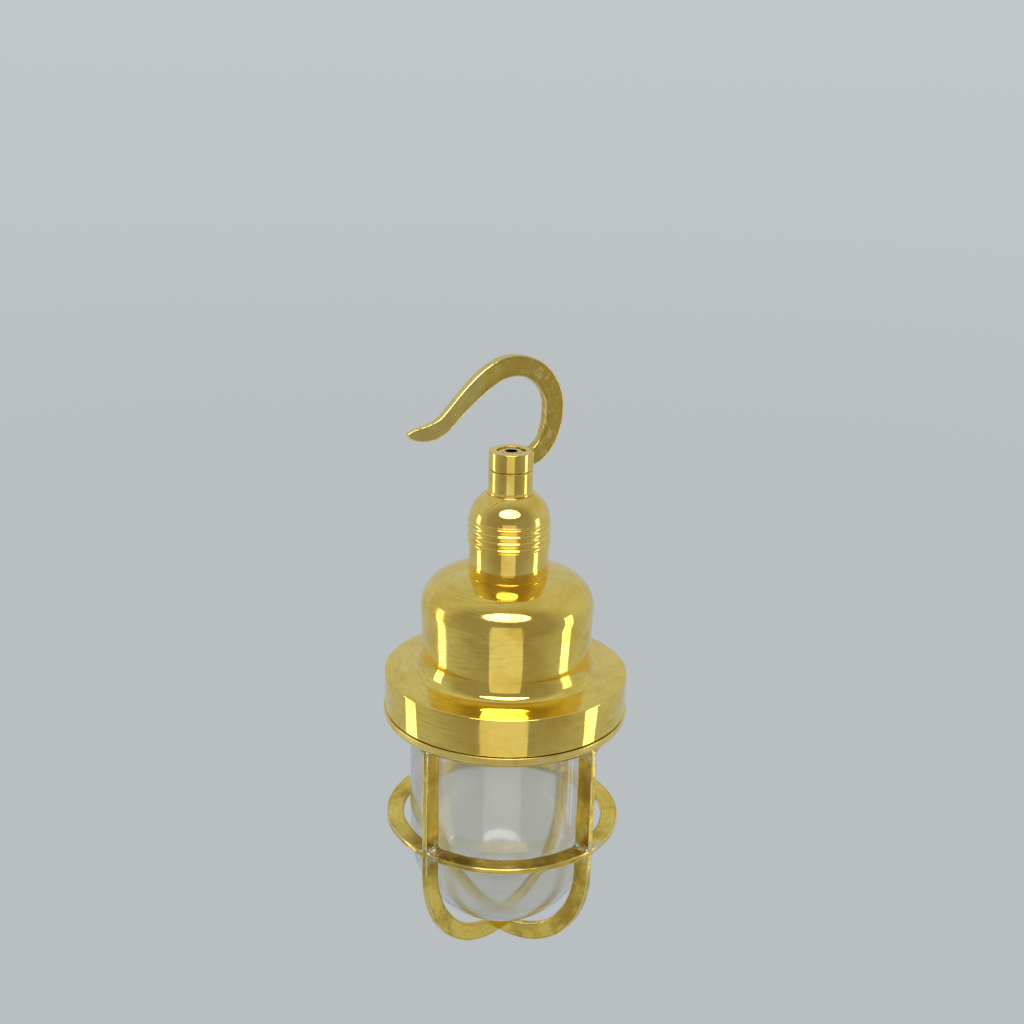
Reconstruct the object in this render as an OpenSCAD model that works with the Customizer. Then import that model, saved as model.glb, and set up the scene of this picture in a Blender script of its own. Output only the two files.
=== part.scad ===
// Hanging brass ship lantern: hook, lampholder, bell housing, glass jar and screw-on guard.
// Millimetres. +Z is up. The origin is where the hook rests on its support, on the lantern's axis,
// and the hook lies in the XZ plane with its tip towards -X.

/* [Hook] */
// Inside radius of the hook's arch
hook_inner_r = 17.7; // [16:0.1:20]
// Width of the hook bar over the arch
hook_bar_w = 10.2; // [8:0.1:12]
// Width of the hook bar along the tail
hook_tail_w = 8; // [7:0.1:9]
// Thickness of the hook plate
hook_plate_t = 5; // [4:0.1:6]

/* [Collar and neck] */
// Drop from the hook's seat to the top of the hook collar
collar_drop = 37; // [36:0.1:38]
// Diameter of the hook collar
collar_d = 22.4; // [22:0.1:24]
// Height of the hook collar
collar_h = 9.2; // [9:0.1:11]
// Thickness of the washer that the collar swivels on
swivel_washer_t = 0.6; // [0.4:0.1:1]
// Diameter of the neck collar
neck_d = 22.2; // [21:0.1:23]
// Height of the neck collar
neck_h = 11.9; // [11:0.1:14]
// Outside diameter of the hollow threaded nipple
nipple_d = 10; // [10:0.1:10.4]
// Bore of the hollow threaded nipple, which the cable passes through
nipple_bore_d = 6.4; // [5:0.1:7]

/* [Lampholder] */
// Outside diameter of the lampholder shell
shell_d = 40.2; // [39.6:0.1:41]
// Height of the lampholder shell above the bell
shell_h = 29.2; // [28:0.1:31]
// Height of the domed cap above the shell
dome_h = 13.1; // [12.6:0.1:14]
// Number of rolled beads at the top of the shell
bead_count = 4; // [2:1:4]
// Distance from one rolled bead to the next
bead_pitch = 3.5; // [3:0.1:3.6]
// Inside radius of the screw shell that takes the lamp cap
lamp_thread_r = 13.3; // [13.2:0.1:13.4]
// Depth of the screw shell
lamp_thread_h = 14; // [12:0.5:15]

/* [Bell housing] */
// Height of the bell from the flange's top face
bell_h = 51.7; // [48:0.1:54]
// Radius the bell's straight side would have at the bell's full height
shoulder_r = 44.6; // [44:0.1:45]
// Radius of the bell's straight side where it would reach the flange
foot_r = 42.7; // [42:0.1:43.2]
// Radius of the crowned top
crown_r = 60; // [55:1:70]
// Radius of the shoulder's curve
shoulder_curve_r = 15.4; // [14:0.1:16]
// Radius of the outward curve at the bell's foot
flare_r = 14; // [12:0.5:18]
// Radius of the fillet between the bell's foot and the flange
foot_fillet_r = 5; // [4:0.5:6]
// Wall thickness of the casting
bell_wall = 3; // [2.5:0.1:3.5]
// Diameter of the flange
flange_d = 124.4; // [124:0.1:126]
// Height of the flange's band
band_h = 19.6; // [19:0.1:21]

/* [Glass jar] */
// Outside diameter of the glass jar
glass_d = 98; // [96:0.1:99]
// Wall thickness of the glass
glass_wall = 2.8; // [2.4:0.1:3.2]
// Diameter of the lip that holds the jar
glass_lip_d = 112; // [110:0.5:112]
// Length of the jar from its lip's top face to the centre of its round end
glass_straight_h = 87; // [84:0.5:88]

/* [Guard] */
// Outside diameter of the guard ring
guard_ring_d = 126; // [125:0.1:127]
// Height of the guard ring below the band
guard_ring_h = 5.7; // [5:0.1:6.5]
// Outside radius of the straps and the hoop
strap_outer_r = 61.4; // [60.5:0.1:61.6]
// Width of the straps and the hoop, along the radius
strap_w = 9.2; // [9:0.1:9.4]
// Thickness of the straps
strap_t = 3; // [2.6:0.1:3.4]
// Height of the hoop
hoop_t = 2.8; // [2.4:0.1:3.2]
// Drop from the guard ring's underside to the middle of the hoop
hoop_drop = 57.2; // [54:0.1:60]
// Drop from the guard ring's underside to the start of the straps' curve
strap_straight_h = 69.6; // [66:0.1:72]
// Angle between the two crossing straps
strap_cross_deg = 86; // [80:1:90]
// Direction of the middle between two neighbouring arms
strap_mid_deg = -115; // [-180:1:180]
// Travel of the guard along its thread
thread_travel = 12; // [10:0.5:12]

/* [Hidden] */
$fn = 96;

brass = "goldenrod";
old_brass = "darkgoldenrod";
steel = "silver";
ceramic = "ivory";
rubber = "dimgray";

// Clearances and small edges
turn_gap = 0.06;      // radial running fit of the collar on the nipple
slide_gap = 0.1;      // end clearance of what turns or moves
thread_gap = 0.2;     // radial clearance of the guard's thread
edge = 0.4;           // small chamfer on turned edges

// Hook outline: the foot, the arch and the tail follow one centre line
arch_r = hook_inner_r + hook_bar_w / 2;
arch_z = -hook_inner_r;
arch_end_deg = 120;
foot_w = 8.6;
foot_curve = [[8.5, -41.6], [19, -40.4], [arch_r, -27.5], [arch_r, arch_z]];
arch_end = [arch_r * cos(arch_end_deg), arch_z + arch_r * sin(arch_end_deg)];
arch_dir = [-sin(arch_end_deg), cos(arch_end_deg)];
shank_end = [-36, -19.2];
shank_dir = [-0.72, -0.69];
tip = [-56.2, -23.6];
shank_curve = [arch_end, arch_end + 11 * arch_dir, shank_end - 10.5 * shank_dir, shank_end];
tail_curve = [shank_end, shank_end + 6 * shank_dir, [-47, -25.2], tip];

// Heights, from the hook's seat downwards
z_collar_top = -collar_drop;
z_collar_bottom = z_collar_top - collar_h;
z_neck_top = z_collar_bottom - swivel_washer_t;
z_dome_top = z_neck_top - neck_h;
z_shell_top = z_dome_top - dome_h;
z_bell_top = z_shell_top - shell_h;
z_flange = z_bell_top - bell_h;
z_band = z_flange - band_h;

// Nipple and its nuts
nipple_r = nipple_d / 2;
recess_r = 7.1;
recess_depth = 3.2;
collar_nut_r = 6.7;
collar_nut_h = 2.2;
z_nut_seat = z_collar_top - recess_depth;
z_nipple_top = z_nut_seat + slide_gap + collar_nut_h + 0.4;
z_nipple_bottom = z_dome_top - 7.5;
dome_wall = 1.5;
dome_nut_h = 4;
dome_nut_af = 14;

// Lampholder
shell_r = shell_d / 2;
shell_wall = 1.4;
bead_r = 1.3;
bead_stand = 0.7;
dome_r = 17.2;
dome_side_r = shell_r + 0.3;
dome_centre_drop = 1.4;
dome_rim_t = 1.8;
dome_skirt_h = 5;
dome_skirt_wall = 1.2;
shell_floor_t = 1.6;
spigot_r = 16.9;
spigot_wall = 1.4;
spigot_l = 8;
insulator_r = shell_r - shell_wall - 0.3;
insulator_floor_t = 6.5;
contact_stand = 2;
screw_shell_wall = 0.5;
z_shell_floor = z_bell_top + shell_floor_t;
z_lamp_mouth = z_shell_floor + 0.6;
z_screw_end = z_lamp_mouth + lamp_thread_h;
z_socket_floor = z_screw_end + contact_stand + 1;
z_insulator_top = z_socket_floor + insulator_floor_t;
contact_r = 3.4;
contact_hole_r = 4;
side_strip = [3.6, 4, 1];
side_strip_x = lamp_thread_r - side_strip[0] - 1.2;
terminal_x = 10;
terminal_size = [6, 8, 6];
terminal_wire_r = 1.5;
terminal_screw_r = 2.4;
terminal_screw_h = 1.8;

// Bell housing
flange_r = flange_d / 2;
flange_t = 4;
flange_round_r = 0.8;
flange_slope = 4;
flare_deg = 24;
top_slope = 2;
side_deg = atan((shoulder_r - foot_r) / bell_h);
side_dir = [cos(side_deg), -sin(side_deg)];
side_up = [sin(side_deg), cos(side_deg)];
flange_dir = [sin(flange_slope), cos(flange_slope)];
flare_dir = [cos(flare_deg), sin(flare_deg)];
top_plate_t = 3.4;
top_hole_r = spigot_r + 0.1;
recess_thread_r = 58;
mouth_r = 37.8;
crown_c = [shell_r - crown_r * sin(top_slope), bell_h - crown_r * cos(top_slope)];
crown_gap = crown_r - shoulder_curve_r;
crown_deg = side_deg + asin((-shoulder_curve_r - (crown_c - [foot_r, 0]) * side_dir) / crown_gap);
curve_c = crown_c + crown_gap * [sin(crown_deg), cos(crown_deg)];
flange_corner = [flange_r - flange_round_r, -flange_round_r];
flange_edge = flange_corner + flange_round_r * flange_dir;
flare_gap = flare_r - foot_fillet_r;
flare_foot = [foot_r, 0] + flare_r * side_dir;
fillet_foot = flare_foot - flare_gap * flare_dir;
flare_rise = (foot_fillet_r - (fillet_foot - flange_edge) * flange_dir) / (side_up * flange_dir);
flare_c = flare_foot + flare_rise * side_up;
fillet_c = flare_c - flare_gap * flare_dir;
holder_washer_t = 1.2;
holder_washer_r = 22.5;
holder_nut_t = 3;
holder_nut_r = 22;
z_ceiling = z_bell_top - top_plate_t;
earth_x = 28;
earth_r = 2;
earth_depth = 1.7;

// Jar, gaskets and guard
z_shelf = z_flange - flange_t;
upper_gasket_t = 2.3;
lower_gasket_t = 1.6;
lip_t = 5;
glass_r = glass_d / 2;
lip_r = glass_lip_d / 2;
z_lip_top = z_shelf - upper_gasket_t - 0.2;
z_lip_bottom = z_lip_top - lip_t;
z_jar_centre = z_lip_top - glass_straight_h;
z_shoulder = z_lip_bottom - lower_gasket_t - slide_gap;
band_gap = 0.3;
guard_inner_r = 50.6;
guard_ring_r = guard_ring_d / 2;
guard_thread_r = recess_thread_r - thread_gap;
cup_r = lip_r + 0.4;
z_guard_top = z_band - band_gap;
z_guard_bottom = z_guard_top - guard_ring_h;
z_thread_top = z_band + thread_travel;
strap_inner_r = strap_outer_r - strap_w;
z_hoop = z_guard_bottom - hoop_drop;
z_strap_centre = z_guard_bottom - strap_straight_h;
arm_dirs = [strap_mid_deg - strap_cross_deg / 2, strap_mid_deg + strap_cross_deg / 2,
            strap_mid_deg - strap_cross_deg / 2 + 180, strap_mid_deg + strap_cross_deg / 2 + 180];

function bezier(c, t) =
    pow(1 - t, 3) * c[0] + 3 * t * pow(1 - t, 2) * c[1] + 3 * t * t * (1 - t) * c[2] + pow(t, 3) * c[3];
function bezier_dir(c, t) =
    pow(1 - t, 2) * (c[1] - c[0]) + 2 * t * (1 - t) * (c[2] - c[1]) + t * t * (c[3] - c[2]);
function normal(d) = [-d[1], d[0]] / norm(d);
function ease(t) = t * t * (3 - 2 * t);
// Half width of the tail: even, a little fuller at the leaf, then down to the point
function leaf(t) = hook_tail_w / 2 * (1 + 0.06 * sin(180 * t)) * sqrt(1 - pow(t, 4));

// A station is a point on the hook's centre line, its normal and half the bar's width there
steps = 10;
foot_stations = [for (i = [0 : steps - 1]) let (t = i / steps)
    [bezier(foot_curve, t), normal(bezier_dir(foot_curve, t)), (foot_w + (hook_bar_w - foot_w) * ease(t)) / 2]];
arch_stations = [for (i = [0 : 2 * steps - 1]) let (a = arch_end_deg * i / (2 * steps))
    [[arch_r * cos(a), arch_z + arch_r * sin(a)], normal([-sin(a), cos(a)]), hook_bar_w / 2]];
shank_stations = [for (i = [0 : steps - 1]) let (t = i / steps)
    [bezier(shank_curve, t), normal(bezier_dir(shank_curve, t)),
     (hook_bar_w + (hook_tail_w - hook_bar_w) * ease(t)) / 2]];
tail_stations = [for (i = [0 : steps - 1]) let (t = i / steps)
    [bezier(tail_curve, t), normal(bezier_dir(tail_curve, t)), leaf(t)]];
stations = concat(foot_stations, arch_stations, shank_stations, tail_stations);
last = len(stations) - 1;
hook_outline = concat([for (s = stations) s[0] + s[1] * s[2]], [tip],
                      [for (i = [0 : last]) stations[last - i][0] - stations[last - i][1] * stations[last - i][2]]);

// A ring about the Z axis between two heights
module ring(r_out, r_in, z_low, z_high) {
    difference() {
        translate([0, 0, z_low]) cylinder(r = r_out, h = z_high - z_low);
        translate([0, 0, z_low - 1]) cylinder(r = r_in, h = z_high - z_low + 2);
    }
}

// Half section of a turned collar with both outer edges chamfered, from height 0 to h
module collar_section(r_out, r_in, h) {
    polygon([[r_in, 0], [r_out - edge, 0], [r_out, edge], [r_out, h - edge], [r_out - edge, h], [r_in, h]]);
}

module hook() {
    color(old_brass)
    difference() {
        rotate([90, 0, 0])
            linear_extrude(height = hook_plate_t, center = true)
                polygon(hook_outline);
        translate([0, 0, z_collar_bottom - 5]) cylinder(r = collar_d / 2, h = collar_h + 10);
    }
}

module hook_collar() {
    color(brass)
    difference() {
        translate([0, 0, z_collar_bottom])
            rotate_extrude() collar_section(collar_d / 2, nipple_r + turn_gap, collar_h);
        translate([0, 0, z_nut_seat]) cylinder(r = recess_r, h = recess_depth + 1);
    }
}

module collar_nut() {
    z_low = z_nut_seat + slide_gap;
    slot_w = 1.4;
    color(brass)
    difference() {
        ring(collar_nut_r, nipple_r, z_low, z_low + collar_nut_h);
        for (side = [-1, 1])
            translate([side * collar_nut_r, 0, z_low + collar_nut_h])
                cube([2.4, slot_w, 2.4], center = true);
    }
}

module nipple() {
    color(brass) ring(nipple_r, nipple_bore_d / 2, z_nipple_bottom, z_nipple_top);
}

module swivel_washer() {
    color(old_brass) ring(collar_d / 2 - 0.8, nipple_r, z_neck_top, z_collar_bottom - slide_gap);
}

module neck_collar() {
    lip_h = 1.6;
    lip_stand = 0.6;
    color(brass)
    difference() {
        translate([0, 0, z_dome_top])
            rotate_extrude() {
                collar_section(neck_d / 2, nipple_r, neck_h);
                polygon([[nipple_r, 0], [neck_d / 2 + lip_stand - edge / 2, 0],
                         [neck_d / 2 + lip_stand, edge / 2], [neck_d / 2 + lip_stand, lip_h - lip_stand],
                         [neck_d / 2, lip_h], [nipple_r, lip_h]]);
            }
        grub_axis() cylinder(r = 1.5, h = neck_d);
    }
}

// Places its children on the axis of the grub screw, pointing outwards
module grub_axis() {
    rotate([0, 0, 61]) translate([nipple_r, 0, z_dome_top + neck_h / 2]) rotate([0, 90, 0]) children();
}

module neck_grub_screw() {
    screw_l = neck_d / 2 - nipple_r - 0.6;
    color(steel)
    difference() {
        grub_axis() cylinder(r = 1.5, h = screw_l);
        grub_axis() translate([0, 0, screw_l - 1.5]) cylinder(r = 0.85, h = 2, $fn = 6);
    }
}

// Half section of the domed cap, grown or shrunk by d, with its lower edge at height 0
module dome_section(d) {
    centre_x = dome_side_r - dome_r;
    intersection() {
        union() {
            square([centre_x, dome_r + d]);
            translate([centre_x, -dome_centre_drop]) circle(r = dome_r + d);
        }
        square([shell_r + 2, dome_h + d]);
    }
}

module holder_dome() {
    color(brass)
    translate([0, 0, z_shell_top])
        rotate_extrude()
            difference() {
                union() {
                    dome_section(0);
                    translate([0, -dome_skirt_h]) square([shell_r - shell_wall, dome_skirt_h + 0.1]);
                }
                difference() {
                    dome_section(-dome_wall);
                    square([shell_r, dome_rim_t]);
                }
                translate([0, -dome_skirt_h - 1])
                    square([shell_r - shell_wall - dome_skirt_wall, dome_skirt_h + dome_rim_t + 1.1]);
                square([nipple_r, dome_h + 1]);
            }
}

module dome_nut() {
    z_top = z_dome_top - dome_wall;
    color(brass)
    difference() {
        translate([0, 0, z_top - dome_nut_h])
            cylinder(r = dome_nut_af / 2 / cos(30), h = dome_nut_h, $fn = 6);
        translate([0, 0, z_top - dome_nut_h - 1]) cylinder(r = nipple_r, h = dome_nut_h + 2);
    }
}

module holder_shell() {
    first_bead = shell_h - bead_r;
    color(brass)
    translate([0, 0, z_bell_top])
        rotate_extrude()
            difference() {
                union() {
                    square([shell_r, shell_h]);
                    for (i = [0 : bead_count - 1])
                        translate([shell_r + bead_stand - bead_r, first_bead - i * bead_pitch])
                            circle(r = bead_r);
                    translate([0, -spigot_l]) square([spigot_r, spigot_l + 0.1]);
                }
                translate([0, shell_floor_t]) square([shell_r - shell_wall, shell_h]);
                translate([0, -spigot_l - 1]) square([spigot_r - spigot_wall, shell_h]);
            }
}

module socket_insulator() {
    socket_r = lamp_thread_r + screw_shell_wall;
    color(ceramic)
    difference() {
        translate([0, 0, z_shell_floor])
            rotate_extrude()
                polygon([[0, 0], [insulator_r - edge, 0], [insulator_r, edge],
                         [insulator_r, z_socket_floor - z_shell_floor], [insulator_r - 2.5, z_socket_floor
                          - z_shell_floor + 1.5], [insulator_r - 2.5, z_insulator_top - z_shell_floor],
                         [0, z_insulator_top - z_shell_floor]]);
        translate([0, 0, z_shell_floor - 1]) cylinder(r = socket_r, h = z_socket_floor - z_shell_floor + 1);
        translate([0, 0, z_socket_floor - 1]) cylinder(r = contact_hole_r, h = insulator_floor_t - 1);
        translate([0, 0, z_socket_floor + insulator_floor_t - 3]) cylinder(r = 1.6, h = 4);
        side_contact_space(0.2);
    }
}

module screw_shell() {
    color(brass) ring(lamp_thread_r + screw_shell_wall, lamp_thread_r, z_lamp_mouth, z_screw_end);
}

// The side contact's strip, or the slot for it in the insulator's floor
module side_contact_space(gap) {
    rotate([0, 0, 90])
        translate([side_strip_x - gap, -side_strip[1] / 2 - gap, z_socket_floor])
            cube([side_strip[0] + 2 * gap, side_strip[1] + 2 * gap, insulator_floor_t + 1]);
}

module side_contact() {
    color(brass)
    rotate([0, 0, 90])
        translate([side_strip_x, -side_strip[1] / 2, z_socket_floor - 0.8])
            union() {
                cube([side_strip[0], side_strip[1], 0.8]);
                cube([side_strip[2], side_strip[1], insulator_floor_t]);
            }
}

module centre_contact() {
    stem_r = 1.4;
    z_face = z_socket_floor - contact_stand;
    color(brass)
    union() {
        translate([0, 0, z_face + 0.8]) cylinder(r = contact_r, h = contact_stand);
        translate([0, 0, z_face])
            rotate_extrude()
                polygon([[0, 0], [contact_r - 1, 0], [contact_r, 0.9], [0, 0.9]]);
        translate([0, 0, z_face + 1]) cylinder(r = stem_r, h = contact_stand + insulator_floor_t);
    }
}

module terminal_blocks() {
    color(brass)
    for (side = [-1, 1])
        difference() {
            translate([side * terminal_x - terminal_size[0] / 2, -terminal_size[1] / 2, z_insulator_top])
                cube(terminal_size);
            translate([side * terminal_x, 0, z_insulator_top + 2.4])
                rotate([90, 0, 0]) cylinder(r = terminal_wire_r, h = 20, center = true);
        }
}

module terminal_screws() {
    color(steel)
    for (side = [-1, 1])
        translate([side * terminal_x, 0, z_insulator_top + terminal_size[2]])
            difference() {
                cylinder(r = terminal_screw_r, h = terminal_screw_h);
                translate([0, 0, terminal_screw_h]) cube([6, 0.8, 1.6], center = true);
            }
}

module holder_washer() {
    color(rubber) ring(holder_washer_r, spigot_r, z_ceiling - holder_washer_t, z_ceiling);
}

module holder_nut() {
    z_top = z_ceiling - holder_washer_t;
    color(brass)
    difference() {
        ring(holder_nut_r, spigot_r, z_top - holder_nut_t, z_top);
        for (a = [0 : 90 : 270])
            rotate([0, 0, a]) translate([holder_nut_r, 0, z_top - holder_nut_t / 2])
                cube([3, 4, holder_nut_t + 2], center = true);
    }
}

// Outer half section of the bell, with the top of the flange's rim at height 0
module bell_outside() {
    crown_end = [sin(crown_deg), cos(crown_deg)];
    crown_start = [sin(top_slope), cos(top_slope)];
    reach = crown_r + 10;
    difference() {
        polygon([[0, -1], [flange_edge[0], -1], flange_edge, fillet_c - foot_fillet_r * flange_dir, fillet_c,
                 flare_c, flare_c - flare_r * side_dir, curve_c + shoulder_curve_r * side_dir, curve_c,
                 crown_c + crown_r * crown_end, [shell_r, bell_h], [0, bell_h]]);
        translate(fillet_c) circle(r = foot_fillet_r);
        intersection() {
            translate(flare_c) circle(r = flare_r);
            polygon([flare_c, flare_c - 2 * flare_r * side_dir, flare_c - 2 * flare_r * flare_dir]);
        }
    }
    translate(curve_c) circle(r = shoulder_curve_r);
    intersection() {
        translate(crown_c) circle(r = crown_r);
        polygon([crown_c, crown_c + reach * crown_start, crown_c + reach * crown_end]);
    }
}

// Half section of the space inside the bell, above the shelf that the gasket sits on
module bell_inside() {
    inner_r = shoulder_curve_r - bell_wall;
    translate([0, -flange_t - 1]) square([mouth_r, flange_t + 2]);
    polygon([[0, 0], [mouth_r, 0], [curve_c[0] + inner_r, curve_c[1]], curve_c,
             [curve_c[0], curve_c[1] + inner_r], [0, bell_h - top_plate_t - 0.5]]);
    intersection() {
        translate(curve_c) circle(r = inner_r);
        translate(curve_c) square(inner_r + 1);
    }
    square([holder_washer_r + 1, bell_h - top_plate_t]);
}

module bell_housing() {
    color(brass)
    difference() {
        translate([0, 0, z_flange])
            rotate_extrude()
                difference() {
                    union() {
                        bell_outside();
                        translate([0, -band_h]) square([flange_r, band_h - flange_round_r]);
                        translate([0, -band_h]) square([flange_r - flange_round_r, band_h - 1]);
                        translate(flange_corner) circle(r = flange_round_r);
                    }
                    bell_inside();
                    translate([0, -band_h - 1]) square([recess_thread_r, band_h - flange_t + 1]);
                    square([top_hole_r, bell_h + 5]);
                }
        translate([earth_x, 0, z_ceiling - 5]) cylinder(r = earth_r, h = 5 + earth_depth + 0.2);
    }
}

module earth_screw() {
    head_h = 2.8;
    z_head = z_ceiling - 3.5 - head_h;
    color(steel)
    difference() {
        union() {
            translate([earth_x, 0, z_head]) cylinder(r = 3.6, h = head_h);
            translate([earth_x, 0, z_head]) cylinder(r = earth_r, h = z_ceiling + earth_depth - z_head);
        }
        translate([earth_x, 0, z_head]) cube([8, 1, 2], center = true);
    }
}

module upper_gasket() {
    color(rubber) ring(recess_thread_r - 1, mouth_r + 4, z_shelf - upper_gasket_t, z_shelf);
}

module glass_jar() {
    color("lightcyan", 0.4)
    rotate_extrude()
        difference() {
            union() {
                translate([0, z_jar_centre]) square([glass_r, z_lip_top - z_jar_centre]);
                translate([0, z_lip_bottom]) square([lip_r, lip_t]);
                intersection() {
                    translate([0, z_jar_centre]) circle(r = glass_r);
                    translate([0, z_jar_centre - glass_r]) square([glass_r, glass_r + 0.1]);
                }
            }
            translate([0, z_jar_centre]) square([glass_r - glass_wall, z_lip_top - z_jar_centre + 1]);
            translate([0, z_jar_centre]) circle(r = glass_r - glass_wall);
        }
}

module lower_gasket() {
    color(rubber) ring(lip_r, guard_inner_r + 0.6, z_lip_bottom - lower_gasket_t, z_lip_bottom);
}

module guard_ring() {
    color(brass)
    difference() {
        union() {
            translate([0, 0, z_guard_bottom])
                rotate_extrude()
                    polygon([[guard_inner_r, 0], [strap_outer_r, 0], [guard_ring_r - 0.5, guard_ring_h * 0.35],
                             [guard_ring_r, guard_ring_h * 0.75], [guard_ring_r - edge / 2, guard_ring_h],
                             [guard_inner_r, guard_ring_h]]);
            ring(guard_thread_r, guard_inner_r, z_guard_top - 1, z_thread_top);
        }
        translate([0, 0, z_shoulder]) cylinder(r = cup_r, h = thread_travel);
    }
}

module guard_hoop() {
    color(old_brass)
    difference() {
        ring(strap_outer_r, strap_inner_r, z_hoop - hoop_t / 2, z_hoop + hoop_t / 2);
        for (a = arm_dirs)
            rotate([0, 0, a])
                translate([strap_outer_r - strap_w / 2, -strap_t / 2, z_hoop - hoop_t])
                    cube([strap_w, strap_t, 2 * hoop_t]);
    }
}

// One arm of the guard: straight down from the ring, then a quarter turn in to the axis,
// halved onto the hoop, and mitred where the four arms meet
module guard_arm(index) {
    ahead = arm_dirs[(index + 1) % 4] - arm_dirs[index];
    behind = arm_dirs[index] - arm_dirs[(index + 3) % 4];
    turn_on = (ahead + 360) % 360;
    turn_back = (behind + 360) % 360;
    reach = strap_outer_r + 5;
    color(old_brass)
    rotate([0, 0, arm_dirs[index]])
        difference() {
            intersection() {
                rotate([90, 0, 0])
                    linear_extrude(height = strap_t, center = true)
                        difference() {
                            union() {
                                translate([0, z_strap_centre]) square([strap_outer_r, strap_straight_h]);
                                intersection() {
                                    translate([0, z_strap_centre]) circle(r = strap_outer_r);
                                    translate([0, z_strap_centre - strap_outer_r])
                                        square([strap_outer_r, strap_outer_r + 0.1]);
                                }
                            }
                            translate([-1, z_strap_centre]) square([strap_inner_r + 1, strap_straight_h + 1]);
                            translate([0, z_strap_centre]) circle(r = strap_inner_r);
                        }
                translate([0, 0, z_strap_centre - strap_outer_r - 1])
                    linear_extrude(height = strap_outer_r + strap_straight_h + 2)
                        polygon([[0, 0], reach * [cos(turn_back / 2), -sin(turn_back / 2)], [reach * 2, 0],
                                 reach * [cos(turn_on / 2), sin(turn_on / 2)]]);
            }
            translate([0, -strap_t, z_hoop - hoop_t / 2])
                cube([strap_outer_r - strap_w / 2, 2 * strap_t, hoop_t]);
        }
}

module guard_arm_1() { guard_arm(0); }
module guard_arm_2() { guard_arm(1); }
module guard_arm_3() { guard_arm(2); }
module guard_arm_4() { guard_arm(3); }

hook();
hook_collar();
collar_nut();
nipple();
swivel_washer();
neck_collar();
neck_grub_screw();
holder_dome();
dome_nut();
holder_shell();
socket_insulator();
screw_shell();
side_contact();
centre_contact();
terminal_blocks();
terminal_screws();
holder_washer();
holder_nut();
bell_housing();
earth_screw();
upper_gasket();
glass_jar();
lower_gasket();
guard_ring();
guard_hoop();
guard_arm_1();
guard_arm_2();
guard_arm_3();
guard_arm_4();
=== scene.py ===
import math

import bmesh
import bpy
from mathutils import Matrix, Vector, noise


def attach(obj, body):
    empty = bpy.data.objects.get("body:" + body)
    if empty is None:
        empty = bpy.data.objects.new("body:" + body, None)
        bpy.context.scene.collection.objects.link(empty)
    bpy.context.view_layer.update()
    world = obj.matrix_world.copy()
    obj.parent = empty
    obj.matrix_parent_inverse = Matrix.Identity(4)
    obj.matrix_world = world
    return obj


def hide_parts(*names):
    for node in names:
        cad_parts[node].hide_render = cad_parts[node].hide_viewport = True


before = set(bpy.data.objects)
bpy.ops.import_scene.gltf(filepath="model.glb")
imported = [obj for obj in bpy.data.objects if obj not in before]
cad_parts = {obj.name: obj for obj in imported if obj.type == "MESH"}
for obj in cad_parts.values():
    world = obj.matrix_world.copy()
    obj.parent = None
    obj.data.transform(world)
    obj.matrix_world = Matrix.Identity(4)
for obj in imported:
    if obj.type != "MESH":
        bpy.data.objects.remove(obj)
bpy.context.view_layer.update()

MM = 0.001
TAU = 2 * math.pi

# ---------------------------------------------------------------- camera
HEADING = math.radians(29.28)
camera = bpy.data.objects.new("camera", bpy.data.cameras.new("camera"))
bpy.context.scene.collection.objects.link(camera)
camera.data.lens = 47.74
camera.data.sensor_width = 36
camera.data.clip_start = 0.01
camera.data.clip_end = 50
camera.matrix_world = (
    Matrix.Translation((-0.3139, -0.5621, 0.1363))
    @ Matrix.Rotation(-HEADING, 4, "Z")
    @ Matrix.Rotation(math.radians(72.315), 4, "X")
    @ Matrix.Rotation(math.radians(1.5), 4, "Z")
)
bpy.context.scene.camera = camera

# ---------------------------------------------------------------- the CAD model's sizes, in millimetres
HOOK_ARCH_R = 22.8
HOOK_ARCH_Z = -17.7
HOOK_BAR_W = 10.2
HOOK_TAIL_W = 8.0
HOOK_PLATE_T = 5.0
Z_COLLAR_TOP = -37.0
Z_COLLAR_BOTTOM = -46.2
Z_NECK_TOP = -46.8
Z_SHELL_TOP = -71.8
Z_FLANGE = -152.7
Z_BAND = -172.3
Z_SHELF = -156.7
Z_LIP_TOP = -159.2
Z_LIP_BOTTOM = -164.2
Z_JAR_CENTRE = -246.2
Z_SHOULDER = -165.9
Z_GUARD_TOP = -172.6
Z_GUARD_BOTTOM = -178.3
Z_THREAD_TOP = -160.3
Z_HOOP = -235.5
Z_STRAP_CENTRE = -247.9
STRAP_OUTER_R = 61.4
STRAP_W = 9.2
STRAP_T = 3.0
HOOP_T = 2.8
ARM_DIRS = (-158.0, -72.0, 22.0, 108.0)
THREAD_PITCH = 3.0


# ---------------------------------------------------------------- mesh helpers
def make_object(name, verts, faces, body, nodes=(), mat=None, attrs=None):
    """A piece from vertices in millimetres, riding on a body and standing for its CAD nodes."""
    mesh = bpy.data.meshes.new(name)
    mesh.from_pydata([Vector(v) * MM for v in verts], [], faces)
    bm = bmesh.new()
    bm.from_mesh(mesh)
    bmesh.ops.recalc_face_normals(bm, faces=bm.faces)
    bm.to_mesh(mesh)
    bm.free()
    for key, (kind, values) in (attrs or {}).items():
        layer = mesh.attributes.new(key, kind, "POINT")
        layer.data.foreach_set("value" if kind == "FLOAT" else "vector", values)
    mesh.shade_smooth()
    obj = bpy.data.objects.new(name, mesh)
    bpy.context.scene.collection.objects.link(obj)
    if mat:
        mesh.materials.append(mat)
    if body:
        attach(obj, body)
    if nodes:
        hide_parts(*nodes)
    return obj


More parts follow.
